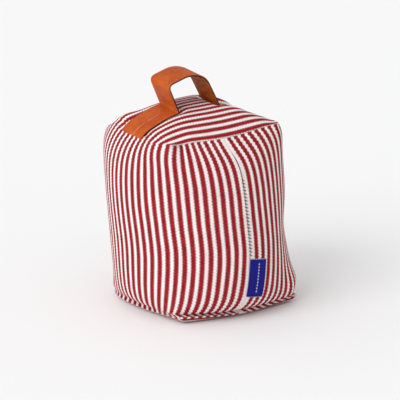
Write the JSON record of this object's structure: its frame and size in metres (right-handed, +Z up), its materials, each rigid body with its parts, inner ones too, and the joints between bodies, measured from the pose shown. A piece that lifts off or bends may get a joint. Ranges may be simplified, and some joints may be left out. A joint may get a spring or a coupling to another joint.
{
  "type": "weighted fabric door stop",
  "caption": "Square bag of striped ticking filled with sand and wadding, with a leather strap on top to lift it. It stands on the floor and holds a door open by its weight.",
  "frame": {"origin": "middle of the flat of the base, on the floor", "axes": "+Z up, +X to the right along the handle strap, -Y out of the face with the upright seam and the label"},
  "size_m": [0.1974, 0.1923, 0.257],
  "materials": {
    "ticking": "cotton twill with red and cream stripes",
    "strap_leather": "smooth tan leather with dark painted edges",
    "label_ribbon": "close woven blue ribbon",
    "seam_thread": "dark sewing thread"
  },
  "bodies": {
    "root": {"filled_bag": "ticking", "handle_strap": "strap_leather", "side_label": "label_ribbon"}
  },
  "joints": []
}
